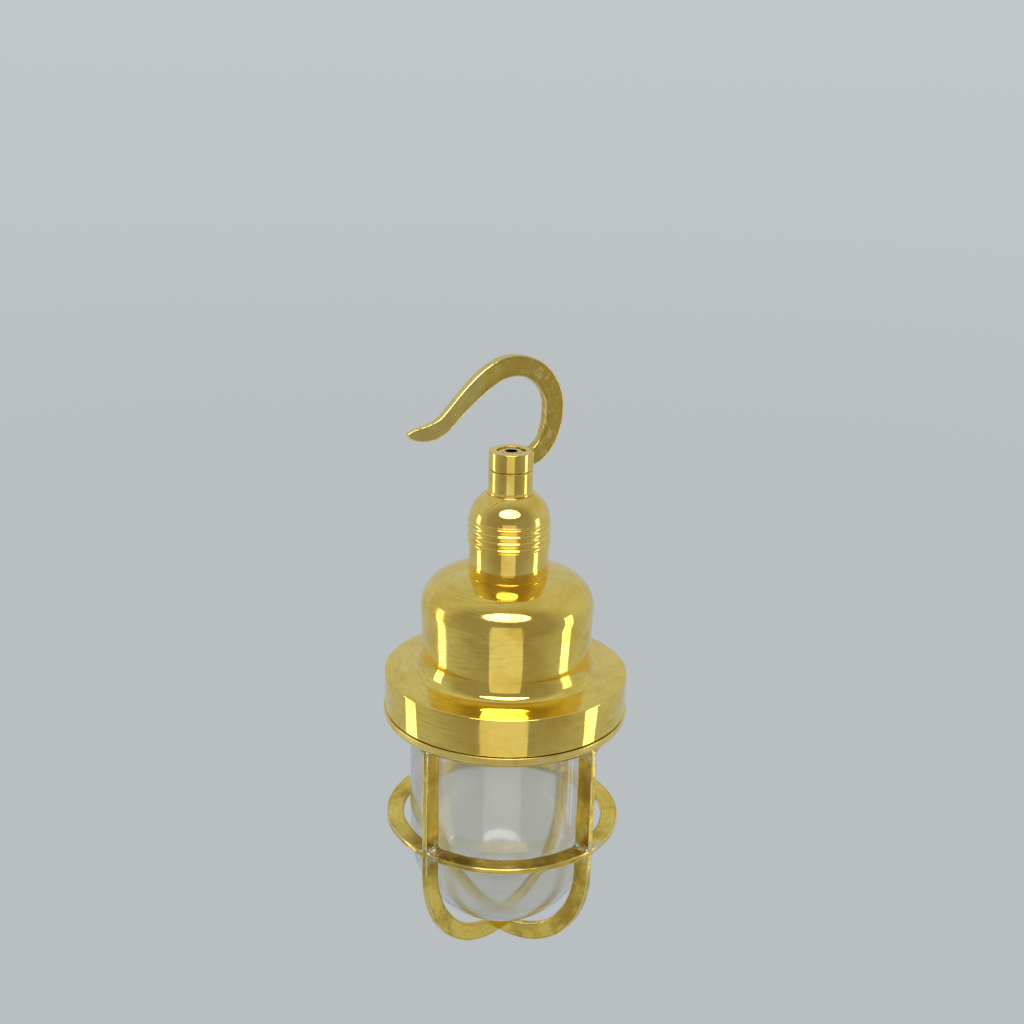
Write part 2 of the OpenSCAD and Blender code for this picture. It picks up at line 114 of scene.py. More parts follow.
def rounded(corners, grain=0.5):
    """Closed outline from (x, y, radius) corners: each is rounded, and straights get support points at their ends."""
    out = []
    count = len(corners)
    for i, (x, y, radius) in enumerate(corners):
        p = Vector((x, y))
        a = Vector(corners[i - 1][:2]) - p
        b = Vector(corners[(i + 1) % count][:2]) - p
        la, lb = a.length, b.length
        a.normalize()
        b.normalize()
        angle = a.angle(b)
        if radius <= 0 or angle > math.pi - 0.01:
            out.append(p)
            continue
        cut = min(radius / math.tan(angle / 2), la * 0.49, lb * 0.49)
        radius = cut * math.tan(angle / 2)
        centre = p + (a + b).normalized() * (radius / math.sin(angle / 2))
        v0, v1 = p + a * cut - centre, p + b * cut - centre
        turn = v0.angle(v1)
        sign = 1 if v0.x * v1.y - v0.y * v1.x > 0 else -1
        support = min(0.15, la * 0.1, lb * 0.1)
        steps = max(4, math.ceil(turn * radius / grain))
        if la - cut > 3 * support:
            out.append(p + a * (cut + support))
        for k in range(steps + 1):
            t = sign * turn * k / steps
            out.append(centre + Vector((v0.x * math.cos(t) - v0.y * math.sin(t),
                                        v0.x * math.sin(t) + v0.y * math.cos(t))))
        if lb - cut > 3 * support:
            out.append(p + b * (cut + support))
    return [(v.x, v.y) for v in out]


def arc(cx, cy, r, a0, a1, steps):
    """Points of an arc about (cx, cy), with the angles in degrees."""
    return [(cx + r * math.cos(math.radians(a0 + (a1 - a0) * k / steps)),
             cy + r * math.sin(math.radians(a0 + (a1 - a0) * k / steps))) for k in range(steps + 1)]


def raised(profile, dz):
    """The (r, z) outline moved up by dz."""
    return [(r, z + dz) for r, z in profile]


def lathe(name, profile, body, nodes=(), mat=None, segments=256, wobble=0.0, seed=0.0):
    """Turns a closed (r, z) outline about the Z axis. wobble is a hand-made unevenness, in millimetres."""
    verts, faces, rows = [], [], []
    for r, z in profile:
        if r < 1e-6:
            rows.append([len(verts)])
            verts.append((0, 0, z))
            continue
        rows.append(list(range(len(verts), len(verts) + segments)))
        for j in range(segments):
            a = TAU * j / segments
            d = wobble * noise.noise(Vector((r * math.cos(a), r * math.sin(a), z)) * 0.05 + Vector((seed, 0, 0)))
            verts.append(((r + d) * math.cos(a), (r + d) * math.sin(a), z))
    for i in range(len(rows)):
        a, b = rows[i], rows[(i + 1) % len(rows)]
        if len(a) == 1 and len(b) == 1:
            continue
        for j in range(segments):
            k = (j + 1) % segments
            if len(a) == 1:
                faces.append((a[0], b[j], b[k]))
            elif len(b) == 1:
                faces.append((a[j], b[0], a[k]))
            else:
                faces.append((a[j], b[j], b[k], a[k]))
    return make_object(name, verts, faces, body, nodes, mat)


def section(half_a, half_b, corner, steps=4, cuts=3):
    """Rounded rectangle as (a, b, edge) points, where edge is 1 on a corner's curve and 0 on a flat."""
    points = []
    for sa, sb, start in ((1, 1, 0), (-1, 1, 90), (-1, -1, 180), (1, -1, 270)):
        for k in range(steps + 1):
            t = math.radians(start + 90 * k / steps)
            points.append((sa * (half_a - corner) + corner * math.cos(t),
                           sb * (half_b - corner) + corner * math.sin(t), 1.0))
        na, nb = points[-1][:2]
        ea, eb = {0: (-(half_a - corner), half_b), 90: (-half_a, -(half_b - corner)),
                  180: (half_a - corner, -half_b), 270: (half_a, half_b - corner)}[start]
        for k in range(1, cuts + 1):
            t = (0.06, 0.5, 0.94)[k - 1]
            points.append((na + (ea - na) * t, nb + (eb - nb) * t, 0.0))
    return points


def sweep(name, frames, body, nodes=(), mat=None, corner=0.5, rough=0.0, closed=False, seed=0.0, steps=4):
    """Sweeps a rounded rectangle along frames of (centre, a direction, b direction, half a, half b).
    The attribute run holds (length along, across a, across b) and the attribute edge marks the corners."""
    verts, faces, run, edges = [], [], [], []
    along = 0.0
    rows = []
    for i, (c, da, db, ha, hb) in enumerate(frames):
        if i:
            along += (c - frames[i - 1][0]).length
        pts = section(ha, hb, min(corner, ha * 0.9, hb * 0.9), steps)
        rows.append(list(range(len(verts), len(verts) + len(pts))))
        for a, b, e in pts:
            p = c + da * a + db * b
            if rough:
                n = noise.noise(p * 0.11 + Vector((seed, 3, 1))) + 0.4 * noise.noise(p * 0.45 + Vector((1, seed, 5)))
                p = p + (da * a / max(ha, 1e-6) + db * b / max(hb, 1e-6)) * (rough * n)
            verts.append(p)
            run.extend((along * MM, a * MM, b * MM))
            edges.append(e)
    m = len(rows[0])
    last = len(rows) if closed else len(rows) - 1
    for i in range(last):
        a, b = rows[i], rows[(i + 1) % len(rows)]
        for j in range(m):
            k = (j + 1) % m
            faces.append((a[j], b[j], b[k], a[k]))
    if not closed:
        faces.append(tuple(rows[0]))
        faces.append(tuple(reversed(rows[-1])))
    return make_object(name, verts, faces, body, nodes, mat,
                       {"run": ("FLOAT_VECTOR", run), "edge": ("FLOAT", edges)})


def fillet(name, start, along, side_a, side_b, length, leg, body, mat, seed=0.0):
    """A solder fillet in the inside corner between side_a and side_b, running from start along a direction."""
    n_len, n_arc, tuck = 14, 7, 0.15
    verts, faces, rows = [], [], []
    for i in range(n_len + 1):
        t = i / n_len
        c = start + along * (length * t)
        size = leg * (0.8 + 0.35 * noise.noise(c * 0.35 + Vector((seed, 0, 0)))) * (0.75 + 0.25 * math.sin(math.pi * t))
        centre = c + side_a * size + side_b * size
        row = [c - (side_a + side_b) * 0.4]
        for k in range(n_arc + 1):
            a = math.radians(90 * k / n_arc)
            bulge = 1 - 0.10 * noise.noise(c * 0.9 + Vector((k, seed, 0)))
            row.append(centre - side_a * (size * math.sin(a) * bulge + (tuck if k == n_arc else 0))
                       - side_b * (size * math.cos(a) * bulge + (tuck if k == 0 else 0)))
        rows.append(list(range(len(verts), len(verts) + len(row))))
        verts.extend(row)
    m = len(rows[0])
    for i in range(n_len):
        for j in range(m):
            k = (j + 1) % m
            faces.append((rows[i][j], rows[i + 1][j], rows[i + 1][k], rows[i][k]))
    faces.append(tuple(rows[0]))
    faces.append(tuple(reversed(rows[-1])))
    return make_object(name, verts, faces, body, (), mat)


# ---------------------------------------------------------------- materials
class Shader:
    """A small helper for node materials."""

    def __init__(self, name):
        self.mat = bpy.data.materials.new(name)
        self.mat.use_nodes = True
        self.tree = self.mat.node_tree
        self.bsdf = self.tree.nodes["Principled BSDF"]

    def node(self, kind, inputs=None, **props):
        n = self.tree.nodes.new(kind)
        for key, value in props.items():
            setattr(n, key, value)
        for key, value in (inputs or {}).items():
            self.put(n.inputs[key], value)
        return n

    def put(self, socket, value):
        if isinstance(value, bpy.types.NodeSocket):
            self.tree.links.new(value, socket)
        else:
            socket.default_value = value

    def math(self, op, a, b=0.0, c=0.0, clamp=False):
        return self.node("ShaderNodeMath", {0: a, 1: b, 2: c}, operation=op, use_clamp=clamp).outputs[0]

    def times(self, a, b):
        return self.math("MULTIPLY", a, b)

    def plus(self, a, b):
        return self.math("ADD", a, b)

    def point(self):
        """The shaded point, in the object's own coordinates."""
        return self.node("ShaderNodeTexCoord").outputs["Object"]

    def ramp(self, fac, low, high, to_low=0.0, to_high=1.0):
        n = self.node("ShaderNodeMapRange", {"Value": fac, "From Min": low, "From Max": high,
                                             "To Min": to_low, "To Max": to_high})
        n.interpolation_type = "SMOOTHSTEP"
        return n.outputs[0]

    def noise(self, vector, scale, detail=3.0, rough=0.5, distort=0.0):
        return self.node("ShaderNodeTexNoise", {"Vector": vector, "Scale": scale, "Detail": detail,
                                                "Roughness": rough, "Distortion": distort}).outputs[0]

    def mix(self, fac, a, b):
        n = self.node("ShaderNodeMix", data_type="RGBA")
        self.put(n.inputs[0], fac)
        self.put(n.inputs[6], a)
        self.put(n.inputs[7], b)
        return n.outputs[2]

    def xyz(self, vector):
        n = self.node("ShaderNodeSeparateXYZ", {0: vector})
        return n.outputs[0], n.outputs[1], n.outputs[2]

    def vector(self, x, y, z):
        return self.node("ShaderNodeCombineXYZ", {0: x, 1: y, 2: z}).outputs[0]

    def bump(self, height, distance, strength=1.0, normal=None):
        n = self.node("ShaderNodeBump", {"Height": height, "Distance": distance, "Strength": strength})
        if normal is not None:
            self.put(n.inputs["Normal"], normal)
        return n.outputs[0]

    def set(self, **inputs):
        for key, value in inputs.items():
            self.put(self.bsdf.inputs[key.replace("_", " ")], value)
        return self


def turned_coordinates(s):
    """The shaded point, and its radius, angle and height, in metres and radians."""
    point = s.point()
    x, y, z = s.xyz(point)
    r = s.math("SQRT", s.plus(s.times(x, x), s.times(y, y)))
    return point, r, s.math("ARCTAN2", y, x), z


def turned_brass(name, low=(0.86, 0.60, 0.10, 1), high=(0.97, 0.73, 0.16, 1), lines=1.0, waves=1.0,
                 rough=0.02, grain=0.0):
    """Polished brass with the lathe's fine rings, an uneven hand polish, a little tarnish, and brushed streaks whose
    darker and lighter colour is a painted reflection.
    """
    s = Shader(name)
    point, r, angle, z = turned_coordinates(s)
    ring_space = s.vector(r, z, s.times(angle, 0.0012))
    rings = s.noise(ring_space, 900, 4, 0.7)
    fine = s.noise(ring_space, 4200, 2, 0.6)
    where = s.ramp(s.noise(point, 30, 2, 0.5), 0.44, 0.62)
    blotch = s.noise(point, 55, 4, 0.6, 0.6)
    speck = s.noise(point, 900, 2, 0.5)
    colour = s.mix(s.ramp(blotch, 0.30, 0.60), low, high)
    colour = s.mix(s.times(s.ramp(speck, 0.70, 0.80), 0.5), colour, (0.22, 0.13, 0.04, 1))
    # Painted reflection: the brushed streaks are real marks, but their darker and lighter colour below stands in for
    # what the streaks reflect.
    brush_space = s.vector(r, z, s.times(angle, 0.006))
    brushed_sheen = s.noise(brush_space, 760, 4, 0.75)
    hand = s.ramp(s.noise(point, 26, 2, 0.5), 0.42, 0.60, 0.15, 1.0)
    colour = s.mix(s.times(s.times(s.ramp(brushed_sheen, 0.48, 0.66), hand), 0.36 * lines), colour,
                   (0.52, 0.37, 0.10, 1))
    colour = s.mix(s.times(s.times(s.ramp(brushed_sheen, 0.44, 0.34), hand), 0.44 * lines), colour,
                   (0.98, 0.88, 0.52, 1))
    roughness = s.plus(s.times(s.times(where, rings), 0.16 * lines), rough)
    roughness = s.plus(roughness, s.times(s.ramp(blotch, 0.46, 0.26), 0.06))
    height = s.plus(s.times(rings, s.plus(where, 0.12)), s.times(fine, 0.2))
    normal = s.bump(s.noise(point, 34, 1.5, 0.4), 0.00042 * waves, 1.0)
    normal = s.bump(height, 0.000011 * lines, 1.0, normal)
    if grain:
        normal = s.bump(s.noise(point, 1500, 2, 0.5), 0.00001 * grain, 1.0, normal)
    s.set(Base_Color=colour, Metallic=1.0, Roughness=roughness, Normal=normal, Anisotropic=0.3)
    s.put(s.bsdf.inputs["Tangent"], s.node("ShaderNodeTangent", direction_type="RADIAL", axis="Z").outputs[0])
    return s.mat


def filed_brass(name, clean, dull, tarnish, rough=0.26, marks=1.0, spots=1.0, joints=(), pale_side=False):
    """Hand-filed bar: marks along the bar, a dull skin with brown patches, bright worn edges, and painted dark
    reflection lines along the bevels.

    joints are the heights with smears of solder by the arms. pale_side makes the bar paler towards -X
    and browner at +X.
    """
    s = Shader(name)
    point = s.point()
    run = s.node("ShaderNodeAttribute", attribute_name="run", attribute_type="GEOMETRY").outputs["Vector"]
    edge = s.node("ShaderNodeAttribute", attribute_name="edge", attribute_type="GEOMETRY").outputs["Fac"]
    along, a, b = s.xyz(run)
    streak_space = s.vector(s.times(along, 0.07), a, b)
    streaks = s.noise(streak_space, 1400, 3, 0.65)
    coarse = s.noise(streak_space, 330, 3, 0.6)
    patches = s.noise(point, 75, 4, 0.62, 0.8)
    wide = s.noise(point, 22, 2, 0.5)
    pits = s.noise(point, 620, 2, 0.5)
    colour = s.mix(s.ramp(patches, 0.30, 0.76), clean, dull)
    colour = s.mix(s.times(s.ramp(s.plus(wide, s.times(patches, 0.5)), 0.72, 0.92), spots),
                   colour, tarnish)
    colour = s.mix(s.times(s.ramp(coarse, 0.5, 0.75), 0.35), colour, dull)
    colour = s.mix(s.times(s.ramp(streaks, 0.46, 0.68), 0.40), colour, tarnish)
    worn = s.times(edge, s.ramp(s.noise(point, 140, 2, 0.5), 0.30, 0.55))
    colour = s.mix(worn, colour, (0.96, 0.79, 0.30, 1))
    # Painted reflection: a dark line along each side of the bevels, standing for the dark the bevels reflect.
    dark_bevel_reflection = s.times(s.ramp(edge, 0.05, 0.30), s.ramp(edge, 0.75, 0.45))
    colour = s.mix(s.times(dark_bevel_reflection, s.ramp(patches, 0.15, 0.50, 0.4, 0.9)), colour, (0.26, 0.15, 0.03, 1))
    colour = s.mix(s.times(s.ramp(pits, 0.68, 0.78), 0.6), colour, (0.12, 0.07, 0.02, 1))
    if joints:
        smear = s.noise(point, 190, 3, 0.6, 0.5)
        x, y, z = s.xyz(point)
        turned = s.math("SUBTRACT", s.math("ARCTAN2", y, x), math.radians(ARM_DIRS[0]))
        off_arm = s.math("ABSOLUTE", s.math("SINE", s.times(turned, 2.0)))
        smear = s.times(s.ramp(smear, 0.47, 0.58), s.ramp(off_arm, 0.30, 0.16))
        for joint in joints:
            near = s.ramp(s.math("ABSOLUTE", s.math("SUBTRACT", z, joint)), 0.0085, 0.0025)
            colour = s.mix(s.times(s.times(near, smear), 0.85), colour, (0.74, 0.71, 0.60, 1))
    if pale_side:
        shift = s.plus(s.xyz(point)[0], s.times(s.math("SUBTRACT", patches, 0.5), 0.03))
        colour = s.mix(s.times(s.ramp(shift, -0.014, -0.004), 0.55), colour, (0.66, 0.45, 0.08, 1))
        colour = s.mix(s.times(s.ramp(shift, -0.012, -0.026), 0.60), colour, (0.97, 0.80, 0.28, 1))
        scuffed = s.times(s.ramp(s.noise(point, 230, 4, 0.65, 0.4), 0.54, 0.62), s.ramp(shift, -0.002, 0.012))
        colour = s.mix(s.times(scuffed, 0.7), colour, (0.95, 0.80, 0.36, 1))
    roughness = s.plus(s.ramp(patches, 0.3, 0.7, rough - 0.05, rough + 0.09), s.times(streaks, 0.08))
    roughness = s.math("SUBTRACT", roughness, s.times(worn, 0.12))
    height = s.plus(streaks, s.times(coarse, 1.6))
    normal = s.bump(s.noise(point, 60, 2, 0.5), 0.00060, 1.0)
    normal = s.bump(s.noise(point, 160, 3, 0.55), 0.00014, 1.0, normal)
    normal = s.bump(height, 0.000020 * marks, 1.0, normal)
    normal = s.bump(s.times(s.ramp(pits, 0.66, 0.80), -1.0), 0.00006, 1.0, normal)
    return s.set(Base_Color=colour, Metallic=1.0, Roughness=roughness, Normal=normal).mat


def solder_metal(name):
    s = Shader(name)
    point = s.point()
    lumps = s.noise(point, 380, 3, 0.6)
    stain = s.noise(point, 240, 3, 0.6, 0.5)
    colour = s.mix(s.ramp(stain, 0.42, 0.60), (0.66, 0.62, 0.50, 1), (0.52, 0.40, 0.15, 1))
    colour = s.mix(s.ramp(s.noise(point, 700, 2, 0.5), 0.60, 0.75), colour, (0.16, 0.11, 0.05, 1))
    normal = s.bump(lumps, 0.00022, 1.0)
    return s.set(Base_Color=colour, Metallic=1.0, Roughness=s.ramp(lumps, 0.3, 0.7, 0.22, 0.42), Normal=normal).mat


def clear_glass(name):
    """Blown glass with a faint milky film, under a clear glossy surface."""
    s = Shader(name)
    point = s.point()
    film = s.noise(point, 30, 3, 0.55, 0.4)
    normal = s.bump(s.noise(point, 22, 1.5, 0.4), 0.00035, 1.0)
    s.set(Base_Color=s.mix(film, (0.91, 0.90, 0.83, 1), (0.95, 0.95, 0.91, 1)),
          Roughness=s.ramp(film, 0.3, 0.8, 0.05, 0.16), Normal=normal, IOR=1.5)
    s.put(s.bsdf.inputs["Transmission Weight"], 0.93)
    s.put(s.bsdf.inputs["Coat Weight"], 0.6)
    s.put(s.bsdf.inputs["Coat Roughness"], 0.03)
    return s.mat


def rubber(name):
    s = Shader(name)
    point = s.point()
    dust = s.noise(point, 260, 4, 0.6)
    colour = s.mix(s.ramp(dust, 0.45, 0.75), (0.018, 0.018, 0.019, 1), (0.075, 0.070, 0.064, 1))
    normal = s.bump(s.noise(point, 1800, 2, 0.5), 0.00004, 1.0)
    return s.set(Base_Color=colour, Roughness=s.ramp(dust, 0.3, 0.7, 0.55, 0.78), Normal=normal).mat


def porcelain(name):
    s = Shader(name)
    point = s.point()
    cloud = s.noise(point, 120, 3, 0.5)
    colour = s.mix(s.ramp(cloud, 0.35, 0.7), (0.80, 0.77, 0.69, 1), (0.87, 0.85, 0.79, 1))
    colour = s.mix(s.ramp(s.noise(point, 1300, 1, 0.5), 0.74, 0.80), colour, (0.35, 0.28, 0.20, 1))
    normal = s.bump(cloud, 0.00006, 1.0)
    return s.set(Base_Color=colour, Roughness=s.ramp(cloud, 0.3, 0.7, 0.16, 0.26), Normal=normal).mat


def steel(name):
    s = Shader(name)
    point = s.point()
    wear = s.noise(point, 420, 3, 0.6)
    colour = s.mix(s.ramp(wear, 0.4, 0.7), (0.62, 0.62, 0.60, 1), (0.42, 0.41, 0.38, 1))
    normal = s.bump(s.noise(point, 2400, 2, 0.5), 0.00001, 1.0)
    return s.set(Base_Color=colour, Metallic=1.0, Roughness=s.ramp(wear, 0.3, 0.7, 0.24, 0.42), Normal=normal).mat


POLISHED = turned_brass("polished_brass")
HOLDER = turned_brass("lampholder_brass", (0.85, 0.59, 0.11, 1), (0.97, 0.73, 0.18, 1), 0.8, 0.5, 0.05, 0.6)
INNER = turned_brass("dull_inside_brass", (0.34, 0.22, 0.07, 1), (0.60, 0.42, 0.14, 1), 1.6, 0.6, 0.26, 1.0)
HOOK = filed_brass("hook_brass", (0.96, 0.76, 0.18, 1), (0.82, 0.59, 0.10, 1), (0.46, 0.27, 0.05, 1), 0.15, 1.0, 0.7,
                   pale_side=True)
GUARD = filed_brass("guard_brass", (0.98, 0.76, 0.16, 1), (0.88, 0.62, 0.09, 1), (0.46, 0.28, 0.04, 1), 0.13, 1.2, 0.8,
                    joints=(Z_GUARD_BOTTOM / 1000, Z_HOOP / 1000))
RING = turned_brass("guard_ring_brass", (0.84, 0.60, 0.12, 1), (0.95, 0.76, 0.22, 1), 1.6, 1.2, 0.17, 1.0)
SOLDER = solder_metal("solder")
GLASS = clear_glass("jar_glass")
RUBBER = rubber("gasket_rubber")
PORCELAIN = porcelain("porcelain")
STEEL = steel("plated_steel")


# ---------------------------------------------------------------- hook
def bezier(c, t):
    """Point of the cubic curve with the four control points c."""
    u = 1 - t
    return c[0] * u ** 3 + c[1] * (3 * t * u * u) + c[2] * (3 * t * t * u) + c[3] * t ** 3


def bezier_dir(c, t):
    """Direction of that curve, not normalised."""
    u = 1 - t
    return (c[1] - c[0]) * (u * u) + (c[2] - c[1]) * (2 * t * u) + (c[3] - c[2]) * (t * t)


def ease(t):
    return t * t * (3 - 2 * t)


def hook_frames():
    """Frames along the hook's centre line, from its foot in the collar to the leaf's tip."""
    end = math.radians(120)
    foot = [Vector(p) for p in ((8.5, -41.6), (19, -40.4), (HOOK_ARCH_R, -27.5), (HOOK_ARCH_R, HOOK_ARCH_Z))]
    arch_end = Vector((HOOK_ARCH_R * math.cos(end), HOOK_ARCH_Z + HOOK_ARCH_R * math.sin(end)))
    arch_dir = Vector((-math.sin(end), math.cos(end)))
    shank_end, shank_dir = Vector((-36, -19.2)), Vector((-0.72, -0.69))
    shank = [arch_end, arch_end + arch_dir * 11, shank_end - shank_dir * 10.5, shank_end]
    tail = [shank_end, shank_end + shank_dir * 6, Vector((-47, -25.2)), Vector((-56.2, -23.6))]
    stations = []
    for i in range(28):
        t = i / 28
        stations.append((bezier(foot, t), bezier_dir(foot, t), (8.6 + (HOOK_BAR_W - 8.6) * ease(t)) / 2, 1.0))
    for i in range(64):
        a = end * i / 64
        stations.append((Vector((HOOK_ARCH_R * math.cos(a), HOOK_ARCH_Z + HOOK_ARCH_R * math.sin(a))),
                         Vector((-math.sin(a), math.cos(a))), HOOK_BAR_W / 2, 1.0))
    for i in range(36):
        t = i / 36
        stations.append((bezier(shank, t), bezier_dir(shank, t),
                         (HOOK_BAR_W + (HOOK_TAIL_W - HOOK_BAR_W) * ease(t)) / 2, 1.0 - 0.12 * ease(t)))
    for i in range(40):
        t = i / 40
        t = 1 - (1 - t) ** 1.5
        width = HOOK_TAIL_W / 2 * (1 + 0.06 * math.sin(math.pi * t)) * math.sqrt(1 - t ** 4)
        stations.append((bezier(tail, t), bezier_dir(tail, t), max(width, 0.25), 0.88 - 0.30 * t))
    frames = []
    for p, d, half, thick in stations:
        d = d.normalized()
        frames.append((Vector((p.x, 0, p.y)), Vector((-d.y, 0, d.x)), Vector((0, 1, 0)),
                       half, HOOK_PLATE_T / 2 * thick))
    return frames


sweep("hook_bar", hook_frames(), "hook", ["hook"], HOOK, 0.75, 0.10, seed=4.0, steps=5)

# ---------------------------------------------------------------- collars, washer and nipple
collar_outline = rounded([
    (5.06, Z_COLLAR_BOTTOM, 0.2), (11.2, Z_COLLAR_BOTTOM, 0.45), (11.2, Z_COLLAR_TOP, 0.5), (7.1, Z_COLLAR_TOP, 0.25),
    (7.1, Z_COLLAR_TOP - 3.2, 0.2), (5.06, Z_COLLAR_TOP - 3.2, 0.1)], 0.15)
lathe("hook_collar_turned", collar_outline, "hook", ["hook_collar"], HOLDER, 160)

washer_outline = rounded([
    (5.0, Z_NECK_TOP, 0.05), (10.4, Z_NECK_TOP, 0.12), (10.4, Z_NECK_TOP + 0.5, 0.12),
    (5.0, Z_NECK_TOP + 0.5, 0.05)], 0.1)
lathe("swivel_washer_disc", washer_outline, "lamp_body", ["swivel_washer"], INNER, 128)

# ---------------------------------------------------------------- lampholder
dome = ([(5.0, 11.6), (5.0, 13.1), (11.9, 13.1)] + arc(3.2, -1.4, 17.2, 57, 5.6, 40)
        + [(20.36, 0.5), (20.42, 0.05), (20.2, -0.12), (18.9, -0.1), (18.7, -0.2), (18.7, -5.0), (17.5, -5.0),
           (17.5, 1.8)] + arc(3.2, -1.4, 15.7, 18, 57, 20) + [(11.4, 11.6)])
lathe("holder_dome_spun", raised(dome, Z_SHELL_TOP), "lamp_body", ["holder_dome"], HOLDER, 192)

beads = []
for i in range(4):
    beads += arc(19.5, -1.3 - 3.5 * i, 1.3, 62.5, -62.5, 10)
shell = [(18.7, -0.05), (19.9, -0.03)] + beads + [
    (20.1, -13.2), (20.1, -28.6), (20.0, -29.05), (19.75, -29.2), (16.9, -29.2), (16.9, -37.2), (15.5, -37.2),
    (15.5, -27.6), (18.7, -27.6)]
lathe("holder_shell_spun", raised(shell, Z_SHELL_TOP), "lamp_body", ["holder_shell"], HOLDER, 192)

# ---------------------------------------------------------------- bell housing
def bell_outside():
    """The bell's outer half section from the lampholder to the rim, with the flange's top edge at height 0."""
    lean, slope, crown_start, flare_end = (math.radians(v) for v in (2.105, 4, 2, 24))
    crown_r, shoulder_r, flare_r, fillet_r, foot_r = 60.0, 15.4, 14.0, 5.0, 42.7
    side = Vector((math.cos(lean), -math.sin(lean)))
    up = Vector((math.sin(lean), math.cos(lean)))
    foot = Vector((foot_r, 0))
    rim = Vector((62.2 - 0.8 + 0.8 * math.sin(slope), -0.8 + 0.8 * math.cos(slope)))
    cone = Vector((math.sin(slope), math.cos(slope)))
    # crown and shoulder
    c1 = Vector((20.1 - crown_r * math.sin(crown_start), 51.7 - crown_r * math.cos(crown_start)))
    a1 = lean + math.asin((-shoulder_r - (c1 - foot).dot(side)) / (crown_r - shoulder_r))
    c2 = c1 + (crown_r - shoulder_r) * Vector((math.sin(a1), math.cos(a1)))
    # flare and fillet
    u = Vector((math.cos(flare_end), math.sin(flare_end)))
    s0 = foot + flare_r * side - (flare_r - fillet_r) * u - rim
    f = foot + flare_r * side + up * ((fillet_r - s0.dot(cone)) / up.dot(cone))
    g = f - (flare_r - fillet_r) * u

    def turn(centre, radius, start, end, steps):
        angles = (start + (end - start) * k / steps for k in range(steps + 1))
        return [tuple(centre + radius * Vector((math.cos(angle), math.sin(angle)))) for angle in angles]

    half = math.pi / 2
    return (turn(c1, crown_r, half - crown_start, half - a1, 16)[:-1] + turn(c2, shoulder_r, half - a1, -lean, 40)
            + turn(f, flare_r, math.pi - lean, math.pi + flare_end, 30)[:-1]
            + turn(g, fillet_r, math.pi + flare_end, 3 * half - slope, 16)
            + turn(Vector((61.4, -0.8)), 0.8, half - slope, 0, 6))


bell = bell_outside() + [(x, z) for x, z in rounded([
    (62.2, -1.0, 0), (62.2, -19.6, 0.4), (59.0, -19.6, 0.3), (59.0, -4.0, 0.2), (37.8, -4.0, 0.5),
    (37.8, 0, 1.5), (41.2, 47.8, 11.5), (23.5, 47.8, 0.2), (23.5, 48.3, 0.1), (17.0, 48.3, 0.2), (17.0, 51.75, 0.2),
    (20.0, 51.72, 0)], 0.6)][1:]
lathe("bell_turned", raised(bell, Z_FLANGE), "lamp_body", ["bell_housing"], POLISHED, 320)


def thread(name, r_mid, depth, z_low, z_high, r_back, body, mat, segments=180):
    """A right-hand thread as one helical surface on a plain sleeve, fading out at both ends."""
    rows_per_turn, run_out, flank = 12, 0.8, 2.6
    verts, faces = [], []
    rows = max(8, math.ceil((z_high - z_low) / THREAD_PITCH * rows_per_turn))
    for i in range(rows + 1):
        z = z_low + (z_high - z_low) * i / rows
        fade = min(1, (z - z_low) / run_out, (z_high - z) / run_out)
        for j in range(segments):
            a = TAU * j / segments
            phase = (z / THREAD_PITCH - j / segments) % 1
            wave = max(-1, min(1, flank * (abs(phase - 0.5) * 4 - 1)))
            r = r_mid + depth * wave * max(fade, 0)
            verts.append((r * math.cos(a), r * math.sin(a), z))
    base = len(verts)
    for z in (z_low, z_high):
        for j in range(segments):
            a = TAU * j / segments
            verts.append((r_back * math.cos(a), r_back * math.sin(a), z))
    for i in range(rows):
        for j in range(segments):
            k = (j + 1) % segments
            faces.append((i * segments + j, (i + 1) * segments + j, (i + 1) * segments + k, i * segments + k))
    top = rows * segments
    for j in range(segments):
        k = (j + 1) % segments
        faces.append((j, k, base + k, base + j))
        faces.append((top + j, base + segments + j, base + segments + k, top + k))
        faces.append((base + j, base + k, base + segments + k, base + segments + j))
    return make_object(name, verts, faces, body, (), mat)


thread("bell_thread", 58.1, 0.45, Z_BAND + 0.1, Z_SHELF - 0.1, 59.3, "lamp_body", INNER)

# ---------------------------------------------------------------- gaskets and jar
upper_outline = rounded([
    (41.8, Z_SHELF - 2.3, 0.9), (57.0, Z_SHELF - 2.3, 0.9), (57.0, Z_SHELF, 0.4), (41.8, Z_SHELF, 0.4)], 0.3)
lathe("upper_gasket_ring", upper_outline, "lamp_body", ["upper_gasket"], RUBBER, 192)

lower_outline = rounded([
    (51.2, Z_LIP_BOTTOM - 1.6, 0.7), (56.0, Z_LIP_BOTTOM - 1.6, 0.7), (56.0, Z_LIP_BOTTOM, 0.3),
    (51.2, Z_LIP_BOTTOM, 0.3)], 0.3)
lathe("lower_gasket_ring", lower_outline, "globe", ["lower_gasket"], RUBBER, 192)

jar = rounded([(46.2, Z_JAR_CENTRE, 0), (46.2, Z_LIP_TOP, 1.3), (56.0, Z_LIP_TOP, 1.9), (56.0, Z_LIP_BOTTOM, 1.9),
               (49.0, Z_LIP_BOTTOM, 1.6), (49.0, Z_JAR_CENTRE, 0)], 0.4)
straight = [z for z in range(-240, -166, 8)]
jar_inside = [(46.2, z) for z in straight]
split = [i for i, p in enumerate(jar) if abs(p[0] - 46.2) < 1e-6 and p[1] > -200][0]
jar_outline = arc(0, Z_JAR_CENTRE, 46.2, -90, 0, 56) + jar_inside + jar[split:-1] + [
    (49.0, z) for z in reversed(straight)] + arc(0, Z_JAR_CENTRE, 49.0, 0, -90, 56)
jar_outline[0] = (0.0, Z_JAR_CENTRE - 46.2)
jar_outline[-1] = (0.0, Z_JAR_CENTRE - 49.0)
lathe("glass_jar_blown", jar_outline, "globe", ["glass_jar"], GLASS, 256)

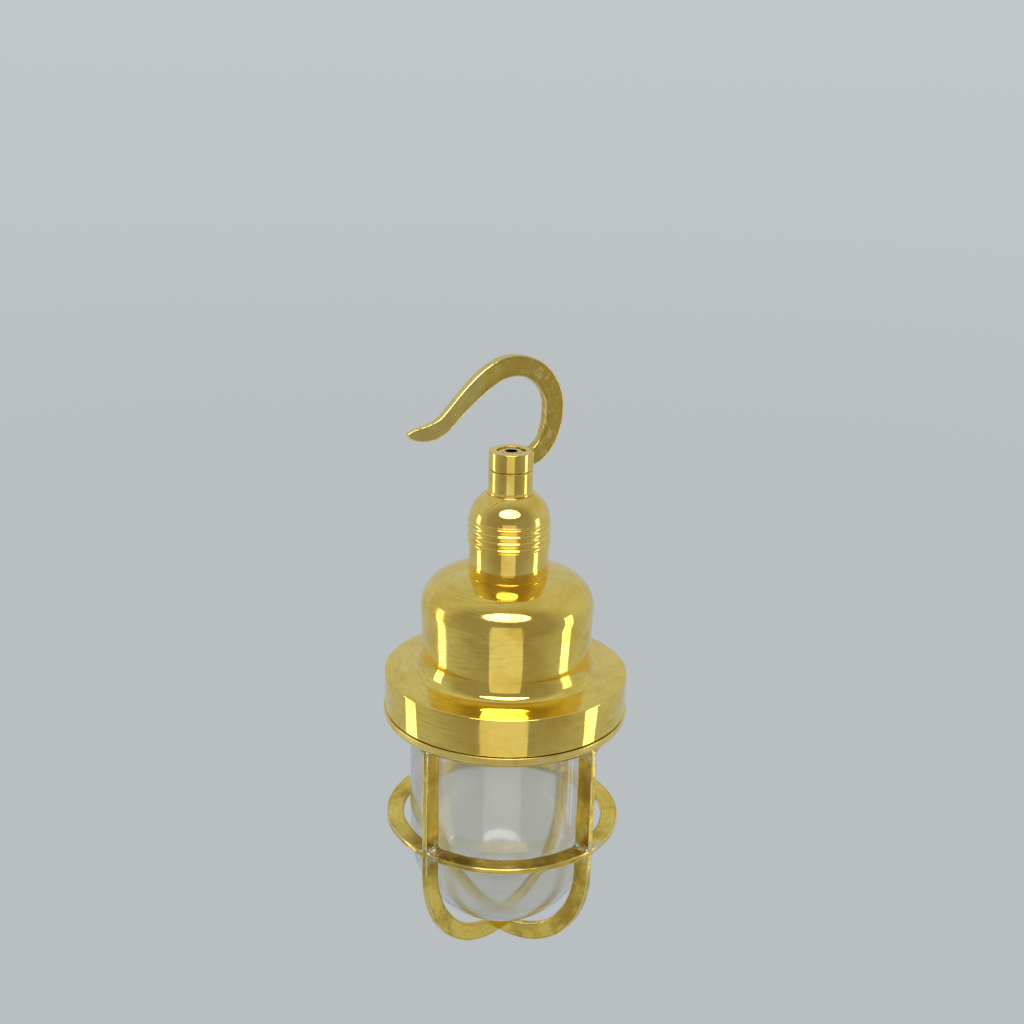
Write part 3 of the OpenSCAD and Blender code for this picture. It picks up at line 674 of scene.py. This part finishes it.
# ---------------------------------------------------------------- guard
ring_outline = rounded([
    (50.6, Z_GUARD_BOTTOM, 0.7), (60.9, Z_GUARD_BOTTOM, 1.6), (62.6, Z_GUARD_BOTTOM + 2.2, 3.0),
    (63.0, Z_GUARD_TOP, 0.35), (57.3, Z_GUARD_TOP, 0.2), (57.3, Z_THREAD_TOP, 0.3), (56.4, Z_THREAD_TOP, 0.2),
    (56.4, Z_SHOULDER, 0.2), (50.6, Z_SHOULDER, 0.5)], 0.25)
lathe("guard_ring_turned", ring_outline, "guard", ["guard_ring"], RING, 288, 0.10, 2.0)
thread("guard_thread", 57.9, 0.45, Z_GUARD_TOP, Z_THREAD_TOP, 56.9, "guard", INNER)

MID_R = STRAP_OUTER_R - STRAP_W / 2
DOWN = Vector((0, 0, -1))


def polar(angle_deg):
    a = math.radians(angle_deg)
    return Vector((math.cos(a), math.sin(a), 0)), Vector((-math.sin(a), math.cos(a), 0))


hoop_frames = []
for i in range(240):
    out, side = polar(i * 1.5)
    hoop_frames.append((out * MID_R + Vector((0, 0, Z_HOOP)), out, Vector((0, 0, 1)), STRAP_W / 2 - 0.05, HOOP_T / 2))
sweep("guard_hoop_bar", hoop_frames, "guard", ["guard_hoop"], GUARD, 0.55, 0.16, True, 9.0)

for index, direction in enumerate(ARM_DIRS):
    out, side = polar(direction)
    frames = []
    straight_h = Z_GUARD_BOTTOM - Z_STRAP_CENTRE
    for i in range(40):
        z = Z_GUARD_BOTTOM + 0.3 - (straight_h + 0.3) * i / 40
        frames.append((out * MID_R + Vector((0, 0, z)), out, side, STRAP_W / 2, STRAP_T / 2))
    for i in range(61):
        a = math.radians(90 * i / 60)
        radial = out * math.cos(a) + DOWN * math.sin(a)
        frames.append((radial * MID_R + Vector((0, 0, Z_STRAP_CENTRE)), radial, side, STRAP_W / 2, STRAP_T / 2))
    sweep(f"guard_arm_{index + 1}_bar", frames, "guard", [f"guard_arm_{index + 1}"], GUARD, 0.5, 0.16,
          seed=11.0 + 3 * index)
    for k, turn in enumerate((1, -1)):
        edge_point = out * (STRAP_OUTER_R - STRAP_W + 0.3) + side * (turn * STRAP_T / 2)
        for j, (z, updown) in enumerate(((Z_GUARD_BOTTOM, -1), (Z_HOOP + HOOP_T / 2, 1), (Z_HOOP - HOOP_T / 2, -1))):
            fillet(f"solder_{index + 1}_{k}_{j}", edge_point + Vector((0, 0, z)), out, side * turn,
                   Vector((0, 0, updown)), STRAP_W - 0.6, (3.4, 3.2, 2.8)[j], "guard",
                   SOLDER if (index + k + j) % 3 == 0 else GUARD, 5.0 * index + 2 * k + j)

# ---------------------------------------------------------------- materials on the CAD pieces that stay
for node, mat in {
    "collar_nut": HOLDER, "neck_collar": HOLDER, "nipple": HOLDER, "neck_grub_screw": STEEL, "dome_nut": HOLDER,
    "socket_insulator": PORCELAIN, "screw_shell": HOLDER, "side_contact": HOLDER, "centre_contact": HOLDER,
    "terminal_blocks": HOLDER, "terminal_screws": STEEL, "holder_washer": RUBBER, "holder_nut": INNER,
    "earth_screw": STEEL,
}.items():
    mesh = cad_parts[node].data
    mesh.materials.clear()
    mesh.materials.append(mat)

# ---------------------------------------------------------------- studio
FLOOR_Z = -0.80
CEILING_Z = 2.1
WALL_R = 2.5
CURVE_R = 0.9
STUDIO_SEGMENTS = 96


def studio_surface():
    """A pale floor that curves up into a round wall and a ceiling; it glows with painted light, brighter towards the
    top and darker on the lantern's front side.
    """
    flat, top = WALL_R - CURVE_R, CEILING_Z - CURVE_R
    outline = ([(0.0, FLOOR_Z), (flat, FLOOR_Z)] + arc(flat, FLOOR_Z + CURVE_R, CURVE_R, -90, 0, 16)[1:]
               + [(WALL_R, top)] + arc(flat, top, CURVE_R, 0, 90, 10)[1:] + [(0.0, CEILING_Z)])
    verts, faces, rows = [], [], []
    for r, z in outline:
        rows.append(list(range(len(verts), len(verts) + STUDIO_SEGMENTS)))
        for j in range(STUDIO_SEGMENTS):
            a = TAU * j / STUDIO_SEGMENTS
            verts.append((max(r, 0.001) * math.cos(a), max(r, 0.001) * math.sin(a), z))
    for i in range(len(rows) - 1):
        for j in range(STUDIO_SEGMENTS):
            k = (j + 1) % STUDIO_SEGMENTS
            faces.append((rows[i][j], rows[i + 1][j], rows[i + 1][k], rows[i][k]))
    mesh = bpy.data.meshes.new("studio")
    mesh.from_pydata(verts, [], faces)
    mesh.shade_smooth()
    obj = bpy.data.objects.new("studio", mesh)
    bpy.context.scene.collection.objects.link(obj)
    s = Shader("studio_painted_light")
    point = s.point()
    x, y, z = s.xyz(point)
    # Painted light: the walls glow by emission, brighter towards the top and darker on the lantern's front side,
    # towards the camera.
    colour = s.mix(s.ramp(z, -0.8, 0.5), (0.485, 0.515, 0.532, 1), (0.545, 0.577, 0.597, 1))
    front = s.plus(s.times(x, -math.sin(HEADING)), s.times(y, -math.cos(HEADING)))
    colour = s.mix(s.ramp(front, -0.2, 1.6), colour, (0.31, 0.30, 0.29, 1))
    s.set(Base_Color=(0.0, 0.0, 0.0, 1), Roughness=1.0, Emission_Color=colour, Emission_Strength=1.0)
    s.put(s.bsdf.inputs["Specular IOR Level"], 0.0)
    mesh.materials.append(s.mat)
    obj.visible_shadow = False
    return obj


studio_surface()


def soft_light(name, azimuth, elevation, distance, shape, width, height, power):
    """A white soft box aimed at the lantern. The azimuth is from the lantern's front, + to its right."""
    a, e = math.radians(azimuth - 90) - HEADING, math.radians(elevation)
    middle = Vector((0, 0, -0.15))
    away = Vector((math.cos(a) * math.cos(e), math.sin(a) * math.cos(e), math.sin(e)))
    data = bpy.data.lights.new(name, "AREA")
    data.shape, data.size, data.size_y, data.energy = shape, width, height, power
    obj = bpy.data.objects.new(name, data)
    bpy.context.scene.collection.objects.link(obj)
    obj.location = middle + away * distance
    obj.rotation_euler = away.to_track_quat("Z", "Y").to_euler()
    obj.visible_camera = False


soft_light("key_light", 0, 45, 1.6, "ELLIPSE", 1.6, 0.8, 15)
soft_light("fill_light", 0, -15, 1.05, "RECTANGLE", 0.75, 1.0, 1.0)
soft_light("left_light", -95, -10, 1.05, "RECTANGLE", 0.25, 0.9, 1.1)
soft_light("right_light", 85, -10, 1.05, "RECTANGLE", 0.25, 0.9, 1.1)

bpy.context.scene.view_settings.view_transform = "Standard"
